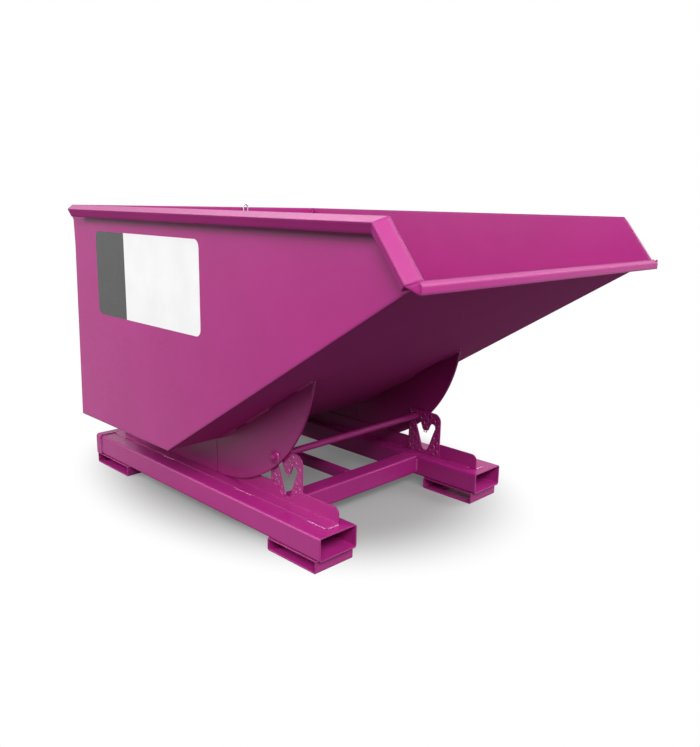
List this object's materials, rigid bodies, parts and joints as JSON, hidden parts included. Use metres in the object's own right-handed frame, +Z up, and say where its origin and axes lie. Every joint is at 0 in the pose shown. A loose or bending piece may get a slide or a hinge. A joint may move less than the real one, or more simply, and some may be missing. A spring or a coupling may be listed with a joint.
{
  "type": "forklift tipping hopper",
  "caption": "Self-tipping steel hopper that rolls forward on curved rockers over a fork-pocket base, with a sloped front, folded rims and heart-shaped guide slots.",
  "frame": {"origin": "middle of the overall bounding box, on the floor", "axes": "+Z up, mouth and tipping direction towards -Y, fork pockets along Y; left is -X and right is +X, as seen looking along +Y at the mouth"},
  "size_m": [1.634, 2.322, 1.3724],
  "materials": {
    "painted_body": "semi-gloss magenta paint",
    "painted_frame": "semi-gloss magenta paint",
    "painted_tread_plate": "semi-gloss magenta paint on tread plate",
    "painted_lock": "semi-gloss magenta paint",
    "galvanised_steel": "dull zinc"
  },
  "bodies": {
    "frame": {"centre_spine": "painted_frame", "foot_front_left": "painted_frame", "foot_front_right": "painted_frame", "foot_rear_left": "painted_frame", "foot_rear_right": "painted_frame", "fork_tube_left": "painted_frame", "fork_tube_right": "painted_frame", "front_cross_member": "painted_frame", "guide_angle_left": "painted_frame", "guide_angle_right": "painted_frame", "latch_ear_left": "painted_frame", "latch_ear_right": "painted_frame", "latch_pin": "galvanised_steel", "latch_pin_nut": "galvanised_steel", "pocket_collar_left": "painted_frame", "pocket_collar_right": "painted_frame", "rear_cross_member": "painted_frame", "slot_bracket_left": "painted_tread_plate", "slot_bracket_right": "painted_tread_plate"},
    "carriage": {"roll_plug_left": "painted_body", "roll_plug_right": "painted_body"},
    "hopper": {"back_plate": "painted_body", "bar_boss_left": "painted_body", "bar_boss_right": "painted_body", "cable_eye": "galvanised_steel", "cross_bar": "painted_body", "floor_plate": "painted_body", "front_lip": "painted_body", "lip_end_plate_left": "painted_body", "lip_end_plate_right": "painted_body", "rear_rim_flare": "painted_body", "rear_rim_strip": "painted_body", "rim_end_plate_left": "painted_body", "rim_end_plate_right": "painted_body", "rocker_left": "painted_body", "rocker_right": "painted_body", "runner_left": "painted_body", "runner_right": "painted_body", "side_plate_left": "painted_body", "side_plate_right": "painted_body", "side_rim_left": "painted_body", "side_rim_right": "painted_body", "slope_plate": "painted_body", "striker_bar": "painted_body", "striker_lug_left": "painted_body", "striker_lug_right": "painted_body"},
    "lock": {"latch_hook": "painted_lock", "release_lever": "painted_lock"}
  },
  "joints": [
    {"name": "roll", "type": "slide", "parent": "frame", "child": "carriage", "axis": [0, -1, 0], "range_m": [0, 0.8022]},
    {"name": "tip", "type": "hinge", "parent": "carriage", "child": "hopper", "pos_m": [0, 0.231, 0.798], "axis": [1, 0, 0], "range_deg": [0, 72]},
    {"name": "lock", "type": "hinge", "parent": "frame", "child": "lock", "pos_m": [0, 1.036, 0.21], "axis": [1, 0, 0], "range_deg": [0, 45]}
  ],
  "couplings": [
    {"joint": "roll", "follows": "tip", "m_per_rad": 0.638}
  ]
}
